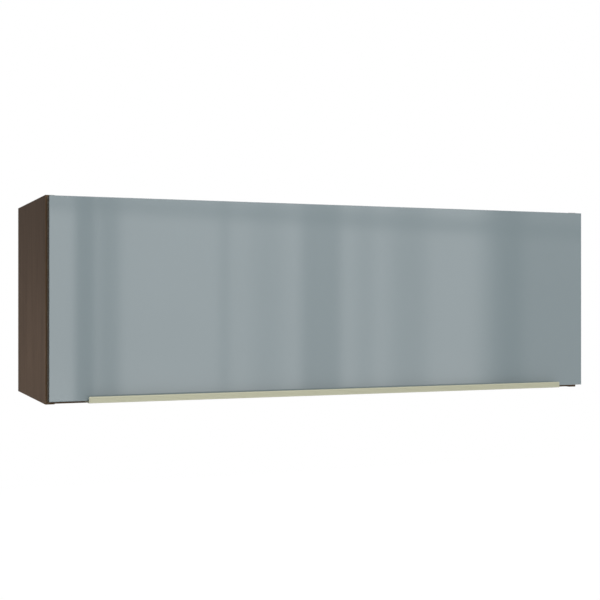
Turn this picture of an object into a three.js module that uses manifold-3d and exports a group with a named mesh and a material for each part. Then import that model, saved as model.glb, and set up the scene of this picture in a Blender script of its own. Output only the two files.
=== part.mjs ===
// A lift-up wall cabinet: a wood-grain carcass on cam fittings, one gloss flap on three cup
// hinges, two lever stays, an edge grip along the flap's foot and two wall hangers.
// Millimetres, +Z up. The front faces -Y. The origin is on the floor plane under the middle.
import * as THREE from 'three';
import { mergeVertices } from 'three/addons/utils/BufferGeometryUtils.js';
import ManifoldModule from 'manifold-3d';

const wasm = await ManifoldModule();
wasm.setup();

// ---------------------------------------------------------------- carcass
const cabinetWidth = 1100;
const cabinetHeight = 364;
const carcassDepth = 319;
const boardThickness = 16;
const endStep = 1; // the top and bottom boards stop this far short of the sides' ends
const boardEase = 0.5; // eased front arrises of the boards
const backThickness = 3;
const backSetIn = 20; // room behind the back for the wall rail
const grooveDepth = 7;
const fitClearance = 0.3; // between a piece and the bore or groove that takes it

// ---------------------------------------------------------------- flap
const flapThickness = 22;
const flapGap = 2; // the bumpers hold the flap this far off the carcass
const flapSideStep = 2.5; // from the sides' outer faces to the flap's ends
const flapTopStep = 2.5;
const flapBottomStep = 6;
const flapEdgeRadius = 1.2;

// ---------------------------------------------------------------- grip profile
const gripProjection = 16; // from the flap's face to the front of the lip
const gripEndInset = 68; // from the carcass's outer faces to the grip's ends
const gripLipHeight = 11.4;
const gripWall = 2.6;
const gripLegHeight = 24;
const gripLegWall = 1.2;
const gripLipRadius = 0.9;
const gripCornerRadius = 1.6; // the lip's upper corners, seen from the front
const gripGrooves = 3;
const gripGrooveDepth = 0.25;

// ---------------------------------------------------------------- cam fittings
const camDiameter = 15;
const camLength = 12.2;
const camInset = 24; // from the board's end to the cam's centre
const camFromFront = 40;
const camFromBack = 60;
const boltThreadDiameter = 6;
const boltShankDiameter = 7;
const boltNeckDiameter = 3.6;
const boltHeadDiameter = 6;
const boltInSide = 10.5;
const screwSlotDepth = 1.5; // the cross slot in a cam
const screwSlotWidth = 1.8;
const screwSlotLength = 9;
const dowelDiameter = 8;
const dowelLength = 30;
const dowelInSide = 10;
const dowelChamfer = 1;

// ---------------------------------------------------------------- wall hangers
const hangerWidth = 14;
const hangerHeight = 52;
const hangerDepth = 62;
const hangerWall = 2;
const hangerCorner = 3;
const hangerDrop = 4; // under the top board
const adjusterBore = 5.2; // lets a screwdriver through to lift the hook or draw it in
const lifterDrop = 4; // under the hook's top
const drawerRise = 10; // over the housing's foot
const hookThickness = 3;
const hookHeight = 20;
const hookHeadroom = 4; // room over the hook in its housing
const hookTail = 45; // in the housing
const hookReach = 17; // behind the back
const hookTooth = 16;
const hookToothWidth = 4;
const hookSlope = 6; // the sloped corner that leads the hook over the rail
const hookWindowRoom = 2; // round the hook in the back board

// ---------------------------------------------------------------- cup hinges
const hingeInset = 130; // from the carcass's outer faces to the outer hinges
const cupDiameter = 35;
const cupDepth = 11.5;
const cupWall = 0.9;
const cupEdgeDistance = 4; // from the flap's top edge to the bore
const cupFlange = 1.2;
const cupFlangeLength = 62;
const cupFlangeWidth = 17;
const cupFlangeDrop = 4; // the wings sit this far under the cup's centre
const cupCollar = 2; // the rim's reach over the bore's edge
const cupScrewSpacing = 48;
const cupScrewBore = 4.4;
const hingePlateSetBack = 37; // the row of plate screws, from the carcass's front
const hingePlateThickness = 3;
const hingePlateSpan = 46;
const hingePlateWidth = 13;
const pressedCorner = 5; // of the plate's and the cup's wings
const plateScrewSpacing = 32;
const plateScrewBore = 5.2;
const ridgeHeight = 4;
const ridgeAhead = 21; // of the plate screws
const ridgeBehind = 27;
const ridgeSlope = 2.5;
const hingePinDiameter = 2.2;
const armSheet = 1.4;
const armEyeRadius = 2.7;
const armRear = 25; // behind the plate screws
const armWebLength = 36;
const armFall = 10; // the cheeks taper to their pins over this length
const armLip = 1.5; // the cheeks' lower edge, over the pins' eyes
const armSlotLength = 12;
const armSlotWidth = 4.4;
const armSlotInset = 8; // from the arm's rear end
const armFixingBore = 4.8;
const armFixingInset = 28;
const linkSheet = 1.5;
const outerLinkWidth = 3.4;
const outerLinkEyeRadius = 2.5;
const innerLinkLength = 7; // along the hinge's pins
const innerLinkThickness = 2.8;
const innerLinkRootThickness = 3.8;
const innerLinkCupEye = 2.1;
const innerLinkEyeWall = 1.1;

// ---------------------------------------------------------------- lever stays
const stayPlateThickness = 2;
const stayPlateRim = 4; // the plate shows this far round the case
const stayLugReach = 10; // from the case's edges to the lugs' screws
const stayLugRadius = 7;
const stayLugInset = 28; // from the case's ends
const stayLugBore = 4.6;
const stayCaseThickness = 12;
const stayCaseFront = 17; // ahead of the lever's pivot
const stayCaseLength = 146;
const stayCaseHeight = 48;
const stayCaseCorner = 9;
const stayCaseWall = 1.8;
const stayCaseEase = 2.5;
const stayPanels = 4; // shallow panels moulded in the case's face, with ribs between
const stayPanelDepth = 0.7;
const stayPanelCorner = 3;
const stayPanelMargin = 8;
const stayRibWidth = 3;
const tensionerBore = 6; // the spring's set screw, in the case's front end
const stayHubRadius = 6;
const stayBarThickness = 3;
const stayLeverWidth = 20;
const stayLeverTaper = 2;
const stayLinkWidth = 16;
const stayLinkTaper = 1;
const stayPinDiameter = 7;
const rivetHeadReach = 1.8;
const rivetHeadHeight = 1.3;
const stayLayerGap = 0.6;
const bracketSheet = 2;
const bracketFootSheet = 1.5;
const bracketLength = 40;
const bracketWidth = 22;
const bracketCorner = 2.5;
const bracketEyeRadius = 8;
const bracketWebInset = 3; // the web stops this far short of the foot's ends
const bracketScrewSpacing = 24;
const bracketScrewInset = 13; // from the web to the screws
const bracketScrewBore = 4.6;

// ---------------------------------------------------------------- bumpers
const bumperDiameter = 9;
const bumperInset = 8;

const past = 1; // how far a cutting shape runs past the face that it opens

// derived planes
const halfWidth = cabinetWidth / 2;
const innerHalf = halfWidth - boardThickness;
const flapFront = flapGap + flapThickness; // ahead of the carcass's front plane
const totalDepth = carcassDepth + flapFront + gripProjection;
const rearY = totalDepth / 2;
const frontY = rearY - carcassDepth;
const topZ = cabinetHeight - endStep;
const topUnderZ = topZ - boardThickness;
const bottomOverZ = endStep + boardThickness;
const backFrontY = rearY - backSetIn - backThickness;
const flapTopZ = cabinetHeight - flapTopStep;

// ---------------------------------------------------------------- materials
function finish(color, roughness, metalness) {
  return () => new THREE.MeshStandardMaterial({ color, roughness, metalness });
}
const woodGrainBoard = finish('#564a41', 0.6, 0);
const paperedHardboard = finish('#5a4e44', 0.65, 0);
const glossLacquer = finish('#8a989b', 0.15, 0);
const anodisedMetal = finish('#b8b8a3', 0.35, 0.8);
const nickelSteel = finish('#b9bbbd', 0.3, 0.9);
const zincSteel = finish('#a5a8aa', 0.4, 0.9);
const greyPlastic = finish('#8f9293', 0.5, 0);
const whitePlastic = finish('#e4e4e0', 0.5, 0);
const beech = finish('#d2b48a', 0.7, 0);
const clearRubber = finish('#d8d8d2', 0.6, 0);

// ---------------------------------------------------------------- solids
function toSolid(geometry) {
  const bare = geometry.clone();
  bare.deleteAttribute('normal');
  bare.deleteAttribute('uv');
  const merged = mergeVertices(bare, 1e-4);
  const mesh = new wasm.Mesh({
    numProp: 3,
    vertProperties: Float32Array.from(merged.attributes.position.array),
    triVerts: Uint32Array.from(merged.index.array),
  });
  return new wasm.Manifold(mesh);
}

function toGeometry(body) {
  const mesh = body.getMesh();
  const geometry = new THREE.BufferGeometry();
  geometry.setAttribute('position', new THREE.BufferAttribute(mesh.vertProperties.slice(), 3));
  geometry.setIndex(new THREE.BufferAttribute(mesh.triVerts.slice(), 1));
  geometry.computeVertexNormals();
  return geometry;
}

// A flat outline pushed along X, Y or Z. The outline's two axes are (Y,Z), (X,Z) or (X,Y).
const alongX = (from) => new THREE.Matrix4().set(0, 0, 1, from, 1, 0, 0, 0, 0, 1, 0, 0, 0, 0, 0, 1);
const alongY = (to) => new THREE.Matrix4().set(1, 0, 0, 0, 0, 0, -1, to, 0, 1, 0, 0, 0, 0, 0, 1);
const alongZ = (from) => new THREE.Matrix4().makeTranslation(0, 0, from);

function push(outline, depth, placing, curveSegments = 8) {
  const options = { depth, bevelEnabled: false, curveSegments };
  return toSolid(new THREE.ExtrudeGeometry(outline, options).applyMatrix4(placing));
}

function slabX(outline, x0, x1, curveSegments) {
  return push(outline, Math.abs(x1 - x0), alongX(Math.min(x0, x1)), curveSegments);
}

function slabY(outline, y0, y1, curveSegments) {
  return push(outline, y1 - y0, alongY(y1), curveSegments);
}

function slabZ(outline, z0, z1, curveSegments) {
  return push(outline, z1 - z0, alongZ(z0), curveSegments);
}

function polygon(points) {
  return new THREE.Shape(points.map(([a, b]) => new THREE.Vector2(a, b)));
}

function rectangle(a0, a1, b0, b1) {
  return polygon([[a0, b0], [a1, b0], [a1, b1], [a0, b1]]);
}

function roundedRectangle(a0, a1, b0, b1, r) {
  const shape = new THREE.Shape();
  shape.absarc(a1 - r, b0 + r, r, -Math.PI / 2, 0);
  shape.absarc(a1 - r, b1 - r, r, 0, Math.PI / 2);
  shape.absarc(a0 + r, b1 - r, r, Math.PI / 2, Math.PI);
  shape.absarc(a0 + r, b0 + r, r, Math.PI, Math.PI * 1.5);
  shape.closePath();
  return shape;
}

function disc(a, b, r) {
  const shape = new THREE.Shape();
  shape.absarc(a, b, r, 0, Math.PI * 2);
  return shape;
}

// The outline of a bar with a round eye at each end, tangent to both.
function barOutline([a0, b0], r0, [a1, b1], r1) {
  const run = Math.hypot(a1 - a0, b1 - b0);
  const aim = Math.atan2(b1 - b0, a1 - a0);
  const flare = Math.acos((r0 - r1) / run);
  const shape = new THREE.Shape();
  shape.absarc(a1, b1, r1, aim - flare, aim + flare);
  shape.absarc(a0, b0, r0, aim + flare, aim - flare + Math.PI * 2);
  shape.closePath();
  return shape;
}

const box = (x0, x1, y0, y1, z0, z1) => slabZ(rectangle(x0, x1, y0, y1), z0, z1);
const rodX = (r, x0, x1, y, z, segments = 10) => slabX(disc(y, z, r), x0, x1, segments);
const rodY = (r, y0, y1, x, z, segments = 10) => slabY(disc(x, z, r), y0, y1, segments);
const rodZ = (r, z0, z1, x, y, segments = 10) => slabZ(disc(x, y, r), z0, z1, segments);
const cut = (body, cutters) => cutters.reduce((rest, cutter) => rest.subtract(cutter), body);
const fuse = (bodies) => bodies.reduce((whole, body) => whole.add(body));

const cabinet = new THREE.Group();

function addPiece(name, body, material, group = cabinet) {
  const mesh = new THREE.Mesh(toGeometry(body), material());
  mesh.name = name;
  group.add(mesh);
  return mesh;
}

const sides = [['left', -1], ['right', 1]];
const levels = [['top', topUnderZ, topZ], ['bottom', endStep, bottomOverZ]];
const camRows = [['front', frontY + camFromFront], ['rear', rearY - camFromBack]];
const dowelY = (frontY + camFromFront + rearY - camFromBack) / 2;

// A turned piece: its profile is [radius, distance] and its axis runs outward along X from `from`.
function turnedX(profile, side, from, y, z, segments = 16) {
  const points = profile.map(([r, t]) => new THREE.Vector2(r, t));
  const geometry = new THREE.LatheGeometry(points, segments);
  geometry.rotateZ(-side * Math.PI / 2);
  geometry.translate(from, y, z);
  return toSolid(geometry);
}

// ---------------------------------------------------------------- carcass boards
const grooveWidth = backThickness + 2 * fitClearance;
const grooveY0 = backFrontY - fitClearance;
const grooveY1 = grooveY0 + grooveWidth;
const camX = innerHalf - camInset;
const camBore = camLength + fitClearance;
const camRadius = camDiameter / 2 - fitClearance;
const boltBoreRadius = boltShankDiameter / 2 + fitClearance;
const threadBoreRadius = boltThreadDiameter / 2 + fitClearance;
const dowelBoreRadius = dowelDiameter / 2 + fitClearance;
const dowelInBoard = dowelLength - dowelInSide;
const boltZ = (z0, z1) => (z0 + z1) / 2;

function sideBoard(side) {
  const inner = side * innerHalf;
  const outer = side * halfWidth;
  const ease = side * boardEase;
  const body = slabZ(polygon([
    [outer - ease, frontY],
    [outer, frontY + boardEase],
    [outer, rearY],
    [inner, rearY],
    [inner, frontY + boardEase],
    [inner + ease, frontY],
  ]), 0, cabinetHeight);
  const grooveEnd = inner + side * grooveDepth;
  const mouth = inner - side * past;
  const x0 = Math.min(mouth, grooveEnd);
  const x1 = Math.max(mouth, grooveEnd);
  const cutters = [box(x0, x1, grooveY0, grooveY1, -past, cabinetHeight + past)];
  for (const [, z0, z1] of levels) {
    for (const [, y] of camRows) {
      const depth = side * (innerHalf + boltInSide + fitClearance);
      cutters.push(rodX(threadBoreRadius, mouth, depth, y, boltZ(z0, z1), 5));
    }
    const depth = side * (innerHalf + dowelInSide + fitClearance);
    cutters.push(rodX(dowelBoreRadius, mouth, depth, dowelY, boltZ(z0, z1), 5));
  }
  return cut(body, cutters);
}

// The top and bottom boards: cams drop in from the face that is out of sight or hard to see.
function levelBoard(level, z0, z1) {
  const isTop = level === 'top';
  const body = slabX(polygon([
    [frontY, z0 + boardEase],
    [frontY + boardEase, z0],
    [rearY, z0],
    [rearY, z1],
    [frontY + boardEase, z1],
    [frontY, z1 - boardEase],
  ]), -innerHalf, innerHalf);
  const grooveZ0 = isTop ? z0 - past : z1 - grooveDepth;
  const grooveZ1 = isTop ? z0 + grooveDepth : z1 + past;
  const boardEnd = innerHalf + past;
  const cutters = [box(-boardEnd, boardEnd, grooveY0, grooveY1, grooveZ0, grooveZ1)];
  for (const [, side] of sides) {
    for (const [, y] of camRows) {
      cutters.push(rodZ(camDiameter / 2, z1 - camBore, z1 + past, side * camX, y, 7));
      cutters.push(rodX(boltBoreRadius, side * camX, side * boardEnd, y, boltZ(z0, z1), 5));
    }
    const dowelEnd = side * (innerHalf - dowelInBoard - fitClearance);
    cutters.push(rodX(dowelBoreRadius, dowelEnd, side * boardEnd, dowelY, boltZ(z0, z1), 5));
  }
  return cut(body, cutters);
}

for (const [name, side] of sides) {
  addPiece(`${name}_side_board`, sideBoard(side), woodGrainBoard);
}
for (const [level, z0, z1] of levels) {
  addPiece(`${level}_board`, levelBoard(level, z0, z1), woodGrainBoard);
}

// ---------------------------------------------------------------- cam fittings and dowels
function camDisc(side, y, z0, z1) {
  const x = side * camX;
  const seat = z1 - camBore;
  const room = boltHeadDiameter / 2 + fitClearance;
  const boltLevel = boltZ(z0, z1);
  const pocketOut = x + side * camDiameter;
  const pocketIn = x - side * room;
  const pocket = box(Math.min(pocketIn, pocketOut), Math.max(pocketIn, pocketOut),
    y - room, y + room, boltLevel - room, boltLevel + room);
  const top = seat + camLength;
  const along = screwSlotLength / 2;
  const across = screwSlotWidth / 2;
  const slotFloor = top - screwSlotDepth;
  return cut(rodZ(camRadius, seat, top, x, y, 7), [
    pocket,
    box(x - along, x + along, y - across, y + across, slotFloor, top + past),
    box(x - across, x + across, y - along, y + along, slotFloor, top + past),
  ]);
}

function camBolt(side, y, z) {
  const head = boltHeadDiameter / 2;
  const neck = boltNeckDiameter / 2;
  const shank = boltShankDiameter / 2;
  const thread = boltThreadDiameter / 2;
  const chamfer = head - neck;
  const neckEnd = camRadius + chamfer;
  const tip = camInset + boltInSide;
  return turnedX([
    [0, -head],
    [neck, -head],
    [head, -neck],
    [head, 0],
    [neck, chamfer],
    [neck, neckEnd],
    [shank, neckEnd + chamfer],
    [shank, camInset - fitClearance],
    [thread, camInset - fitClearance],
    [thread, tip - chamfer],
    [0, tip],
  ], side, side * camX, y, z, 6);
}

function dowel(side, z) {
  const r = dowelDiameter / 2;
  const chamfer = dowelChamfer;
  return turnedX([
    [0, 0],
    [r - chamfer, 0],
    [r, chamfer],
    [r, dowelLength - chamfer],
    [r - chamfer, dowelLength],
    [0, dowelLength],
  ], side, side * (innerHalf - dowelInBoard), dowelY, z, 8);
}

for (const [name, side] of sides) {
  for (const [level, z0, z1] of levels) {
    for (const [row, y] of camRows) {
      addPiece(`cam_${level}_${name}_${row}`, camDisc(side, y, z0, z1), zincSteel);
      addPiece(`cam_bolt_${level}_${name}_${row}`, camBolt(side, y, boltZ(z0, z1)), zincSteel);
    }
    addPiece(`dowel_${level}_${name}`, dowel(side, boltZ(z0, z1)), beech);
  }
}

// ---------------------------------------------------------------- wall hangers
const hangerTop = topUnderZ - hangerDrop;
const hangerRear = backFrontY;
const hookZ1 = hangerTop - hangerWall - fitClearance - hookHeadroom;
const hookZ0 = hookZ1 - hookHeight;
const hookMiddle = innerHalf - hangerWidth / 2;
const hookEnd = backFrontY + backThickness + hookReach;
const hookHalf = hookThickness / 2;
const hookRoom = hookHalf + fitClearance;

function backBoard() {
  const reach = grooveDepth - fitClearance;
  const body = box(-innerHalf - reach, innerHalf + reach, backFrontY, backFrontY + backThickness,
    bottomOverZ - reach, topUnderZ + reach);
  const half = hookHalf + hookWindowRoom;
  const windows = sides.map(([, side]) => box(side * hookMiddle - half, side * hookMiddle + half,
    backFrontY - past, backFrontY + backThickness + past,
    hookZ0 - hookTooth - hookWindowRoom, hookZ1 + hookHeadroom));
  return cut(body, windows);
}

// A box screwed to the side board, open towards it, with a slot in its rear wall for the hook.
function hangerHousing(side) {
  const x0 = side * (innerHalf - hangerWidth);
  const x1 = side * innerHalf;
  const y0 = hangerRear - hangerDepth;
  const z0 = hangerTop - hangerHeight;
  const w = hangerWall;
  const shell = slabX(roundedRectangle(y0, hangerRear, z0, hangerTop, hangerCorner), x0, x1, 2);
  const hollow = slabX(
    roundedRectangle(y0 + w, hangerRear - w, z0 + w, hangerTop - w, hangerCorner / 2),
    x0 + side * w, x1 + side * past, 2);
  const slot = box(side * hookMiddle - hookRoom, side * hookMiddle + hookRoom,
    hangerRear - w - past, hangerRear + past, hookZ0 - fitClearance, hookZ1 + fitClearance);
  const adjusters = [hookZ1 - lifterDrop, z0 + drawerRise].map((z) => rodY(adjusterBore / 2,
    y0 - past, y0 + w + past, side * hookMiddle, z, 5));
  return cut(shell, [hollow, slot, ...adjusters]);
}

function hangerHook(side) {
  const tail = hangerRear - hookTail;
  const toothTip = hookZ0 - hookTooth;
  const point = hookToothWidth / 2;
  const outline = polygon([
    [tail, hookZ0],
    [hookEnd - hookToothWidth, hookZ0],
    [hookEnd - hookToothWidth, toothTip + point],
    [hookEnd - point, toothTip],
    [hookEnd, toothTip],
    [hookEnd, hookZ1 - hookSlope],
    [hookEnd - hookSlope, hookZ1],
    [tail, hookZ1],
  ]);
  return slabX(outline, side * hookMiddle - hookHalf, side * hookMiddle + hookHalf);
}

addPiece('back_board', backBoard(), paperedHardboard);
for (const [name, side] of sides) {
  addPiece(`hanger_housing_${name}`, hangerHousing(side), whitePlastic);
  addPiece(`hanger_hook_${name}`, hangerHook(side), zincSteel);
}

// ---------------------------------------------------------------- bumpers
for (const [name, side] of sides) {
  const x = side * (halfWidth - bumperInset);
  const z = flapBottomStep + bumperInset;
  const face = frontY - flapGap + fitClearance;
  addPiece(`bumper_${name}`, rodY(bumperDiameter / 2, face, frontY, x, z, 8), clearRubber);
}

// ---------------------------------------------------------------- flap
const flapInnerY = frontY - flapGap;
const flapOuterY = flapInnerY - flapThickness;
const hingePlaces = [
  ['left', -(halfWidth - hingeInset)],
  ['middle', 0],
  ['right', halfWidth - hingeInset],
];
const cupCentreZ = flapTopZ - cupEdgeDistance - cupDiameter / 2;

function flapPanel() {
  const r = flapEdgeRadius;
  const x = halfWidth - flapSideStep - r;
  const geometry = new THREE.ExtrudeGeometry(
    rectangle(-x, x, flapBottomStep + r, flapTopZ - r),
    {
      depth: flapThickness - 2 * r,
      bevelEnabled: true,
      bevelThickness: r,
      bevelSize: r,
      bevelSegments: 3,
    },
  );
  geometry.applyMatrix4(alongY(flapInnerY - r));
  const boreFloor = flapInnerY - cupDepth - fitClearance;
  const bores = hingePlaces.map(([, x0]) => rodY(cupDiameter / 2, boreFloor, flapInnerY + past,
    x0, cupCentreZ, 13));
  return cut(toSolid(geometry), bores);
}

// The grip hugs the flap's foot: a leg behind it, a floor under it and a lip stood off in front.
const gripTop = flapBottomStep - fitClearance;
const gripFloor = gripTop - gripWall;
const gripLipTop = gripFloor + gripLipHeight;
const gripHalf = halfWidth - gripEndInset;
const gripLipY0 = flapOuterY - gripProjection;

function gripProfile() {
  const legY0 = flapInnerY + fitClearance;
  const legY1 = legY0 + gripLegWall;
  const tray = slabX(polygon([
    [gripLipY0 + gripLipRadius, gripFloor],
    [legY1, gripFloor],
    [legY1, gripFloor + gripLegHeight],
    [legY0, gripFloor + gripLegHeight],
    [legY0, gripTop],
    [gripLipY0 + gripWall, gripTop],
  ]), -gripHalf, gripHalf);
  const lip = new THREE.Shape();
  const back = gripLipY0 + gripWall;
  const r = gripLipRadius;
  lip.moveTo(back, gripFloor);
  lip.lineTo(back, gripLipTop - r / 2);
  lip.absarc(back - r / 2, gripLipTop - r / 2, r / 2, 0, Math.PI / 2);
  lip.absarc(gripLipY0 + r, gripLipTop - r, r, Math.PI / 2, Math.PI);
  const pitch = (gripLipHeight - 2 * r) / (gripGrooves + 1);
  for (let i = gripGrooves; i >= 1; i -= 1) {
    const z = gripFloor + r + i * pitch;
    lip.lineTo(gripLipY0, z + gripGrooveDepth);
    lip.lineTo(gripLipY0 + gripGrooveDepth, z);
    lip.lineTo(gripLipY0, z - gripGrooveDepth);
  }
  lip.absarc(gripLipY0 + r, gripFloor + r, r, Math.PI, Math.PI * 1.5);
  lip.closePath();
  const underFloor = gripFloor - 2 * gripCornerRadius;
  const ends = slabY(roundedRectangle(-gripHalf, gripHalf, underFloor, gripLipTop, gripCornerRadius),
    gripLipY0 - past, back + past, 4);
  return tray.add(slabX(lip, -gripHalf, gripHalf, 3).intersect(ends));
}

addPiece('flap_panel', flapPanel(), glossLacquer);
addPiece('grip_profile', gripProfile(), anodisedMetal);

// ---------------------------------------------------------------- linkage planes
// Pivots are [forward of the carcass's front, above the cabinet's top], flap shut.
// Each hinge is a four-bar: two links swing from the arm and carry the cup.
const armOuterPivot = [3.2, -35.5];
const armInnerPivot = [-0.2, -28.4];
const cupOuterPivot = [5.5, -14.3];
const cupInnerPivot = [10.1, -10.4];
const innerLinkElbow = [10.6, -22.6];
const innerLinkPlay = 1.75; // the loose eye at the arm, where the closed chain is opened
const stayCasePivot = [-61.4, -80];
const stayElbowPivot = [-74.2, -179.6];
const stayFlapPivot = [-11, -106.5];
const stayPlay = 0.2; // the loose eye at the flap bracket, opened in the same way
const inPlane = ([forward, up]) => [-forward, up];

function linkageGroup(x) {
  const group = new THREE.Group();
  group.position.set(x, frontY, cabinetHeight);
  cabinet.add(group);
  return group;
}

const bothSides = (make) => fuse([make(-1), make(1)]);
const pinR = hingePinDiameter / 2;
const eyeR = pinR + fitClearance;
const innerHalfLength = innerLinkLength / 2;
const layer = fitClearance + 0.1; // between neighbours along a pin
const linkIn = innerHalfLength + layer;
const linkOut = linkIn + linkSheet;
const armIn = linkOut + layer;
const armOut = armIn + armSheet;
const stubEnd = innerHalfLength + fitClearance;
const plateTop = topUnderZ - cabinetHeight;
const plateBottom = plateTop - hingePlateThickness;
const ridgeBottom = plateBottom - ridgeHeight;
const ridgeHalf = armIn - fitClearance;

const stubs = (place, from, to) => bothSides((side) => rodX(pinR, side * from, side * to,
  ...inPlane(place), 5));

// A plate screwed under the top board, with the ridge that the arm clips over.
function hingePlate() {
  const middle = hingePlateSetBack;
  const halfSpan = hingePlateSpan / 2;
  const halfPlate = hingePlateWidth / 2;
  const ahead = middle - ridgeAhead;
  const behind = middle + ridgeBehind;
  const wings = slabZ(roundedRectangle(-halfSpan, halfSpan, middle - halfPlate,
    middle + halfPlate, pressedCorner), plateBottom, plateTop, 3);
  const ridge = slabX(polygon([
    [ahead, plateTop],
    [ahead, ridgeBottom + ridgeSlope],
    [ahead + ridgeSlope, ridgeBottom],
    [behind - ridgeSlope, ridgeBottom],
    [behind, ridgeBottom + ridgeSlope],
    [behind, plateTop],
  ]), -ridgeHalf, ridgeHalf);
  const holes = bothSides((side) => rodZ(plateScrewBore / 2, plateBottom - past, plateTop + past,
    side * plateScrewSpacing / 2, middle, 6));
  return cut(wings.add(ridge), [holes]);
}

// The arm: a pressed channel over the ridge whose two cheeks drop to the link pins.
function hingeArm() {
  const [outerY, outerZ] = inPlane(armOuterPivot);
  const [innerY, innerZ] = inPlane(armInnerPivot);
  const r = armEyeRadius;
  const rear = hingePlateSetBack + armRear;
  const webFront = rear - armWebLength;
  const top = plateBottom - fitClearance;
  const webTop = ridgeBottom - fitClearance;
  const webBottom = webTop - armSheet;
  const outline = polygon([
    [rear, top],
    [innerY + armFall, top],
    [innerY, innerZ + r],
    [outerY, outerZ],
    [outerY, outerZ - r + fitClearance],
    [innerY + armFall, outerZ - r + armLip],
    [webFront, webBottom],
    [rear, webBottom],
  ]);
  const cheeks = bothSides((side) => fuse([
    slabX(outline, side * armIn, side * armOut),
    slabX(barOutline([innerY, innerZ], r, [outerY, outerZ], r), side * armIn, side * armOut, 5),
  ]));
  const web = box(-armOut, armOut, webFront, rear, webBottom, webTop);
  const innerPin = rodX(pinR, -armOut, armOut, innerY, innerZ, 5);
  const slotRear = rear - armSlotInset;
  const screwSlot = box(-armSlotWidth / 2, armSlotWidth / 2, slotRear - armSlotLength, slotRear,
    webBottom - past, webTop + past);
  const fixing = rodZ(armFixingBore / 2, webBottom - past, webTop + past, 0,
    rear - armFixingInset, 6);
  return cut(fuse([cheeks, web, innerPin, stubs(armOuterPivot, stubEnd, armOut)]),
    [screwSlot, fixing]);
}

function hingeOuterLink() {
  const arm = inPlane(armOuterPivot);
  const cup = inPlane(cupOuterPivot);
  const r = outerLinkEyeRadius;
  const halfWide = outerLinkWidth / 2;
  const cheek = (side) => {
    const x0 = side * linkIn;
    const x1 = side * linkOut;
    return fuse([
      slabX(barOutline(arm, halfWide, cup, halfWide), x0, x1, 2),
      slabX(disc(...arm, r), x0, x1, 4),
      slabX(disc(...cup, r), x0, x1, 4),
    ]);
  };
  const bridge = box(-linkOut, linkOut, arm[0] - r, arm[0] - eyeR, arm[1] - linkSheet,
    arm[1] + 2 * linkSheet);
  const holes = [arm, cup].map(([y, z]) => rodX(eyeR, -linkOut - past, linkOut + past, y, z, 5));
  return cut(bothSides(cheek).add(bridge), holes);
}

// The inner link is bent round the cup's rim, which passes inside its elbow as the flap opens.
function hingeInnerLink() {
  const arm = inPlane(armInnerPivot);
  const cup = inPlane(cupInnerPivot);
  const elbow = inPlane(innerLinkElbow);
  const along = innerHalfLength;
  const thin = innerLinkThickness / 2;
  const root = innerLinkRootThickness / 2;
  const looseR = pinR + innerLinkPlay + fitClearance;
  const body = fuse([
    slabX(barOutline(cup, thin, elbow, thin), -along, along, 3),
    slabX(barOutline(elbow, thin, arm, root), -along, along, 3),
    slabX(disc(...cup, innerLinkCupEye), -along, along, 5),
    slabX(disc(...arm, looseR + innerLinkEyeWall), -along, along, 7),
  ]);
  return cut(body, [
    rodX(eyeR, -along - past, along + past, ...cup, 5),
    rodX(looseR, -along - past, along + past, ...arm, 7),
  ]);
}

// A dish in the flap's bore with screwed wings; its pins cross the dish from wall to wall.
function hingeCup() {
  const face = -flapGap;
  const rim = face + cupFlange;
  const floor = face - cupDepth;
  const z = cupCentreZ - cabinetHeight;
  const wingZ = z - cupFlangeDrop;
  const outerR = cupDiameter / 2 - fitClearance;
  const innerR = outerR - cupWall;
  const wing = slabY(roundedRectangle(-cupFlangeLength / 2, cupFlangeLength / 2,
    wingZ - cupFlangeWidth / 2, wingZ + cupFlangeWidth / 2, pressedCorner), face, rim, 3);
  const collar = rodY(outerR + cupCollar, face, rim, 0, z, 13);
  const dish = rodY(outerR, floor, face + cupFlange / 2, 0, z, 13);
  const hollow = rodY(innerR, floor + cupWall, rim + past, 0, z, 13);
  const screwHoles = bothSides((side) => rodY(cupScrewBore / 2, face - past, rim + past,
    side * cupScrewSpacing / 2, wingZ, 4));
  const shell = cut(fuse([wing, collar, dish]), [hollow, screwHoles]);
  const chord = (place) => Math.sqrt(innerR ** 2 - (place[1] - z) ** 2) + cupWall / 2;
  const innerPin = rodX(pinR, -chord(cupInnerPivot), chord(cupInnerPivot),
    ...inPlane(cupInnerPivot), 5);
  return fuse([shell, innerPin, stubs(cupOuterPivot, stubEnd, chord(cupOuterPivot))]);
}

for (const [name, x] of hingePlaces) {
  const group = linkageGroup(x);
  addPiece(`hinge_plate_${name}`, hingePlate(), nickelSteel, group);
  addPiece(`hinge_arm_${name}`, hingeArm(), nickelSteel, group);
  addPiece(`hinge_outer_link_${name}`, hingeOuterLink(), nickelSteel, group);
  addPiece(`hinge_inner_link_${name}`, hingeInnerLink(), nickelSteel, group);
  addPiece(`hinge_cup_${name}`, hingeCup(), nickelSteel, group);
}

// ---------------------------------------------------------------- lever stays
// Layers stack inward from the side board: plate, spring case, lever, link, flap bracket.
const caseOut = stayPlateThickness + stayCaseThickness;
const leverIn = caseOut + stayLayerGap;
const leverOut = leverIn + stayBarThickness;
const linkInner = leverOut + stayLayerGap;
const linkOuter = linkInner + stayBarThickness;
const bracketIn = linkOuter + stayLayerGap;
const bracketOut = bracketIn + bracketSheet;
const stayPinR = stayPinDiameter / 2;
const stayEyeR = stayPinR + fitClearance;
const caseHalf = stayCaseHeight / 2;

function caseOutline(grow) {
  const [y, z] = inPlane(stayCasePivot);
  const front = y - stayCaseFront;
  return roundedRectangle(front - grow, front + stayCaseLength + grow,
    z - caseHalf - grow, z + caseHalf + grow, stayCaseCorner + grow);
}

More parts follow.
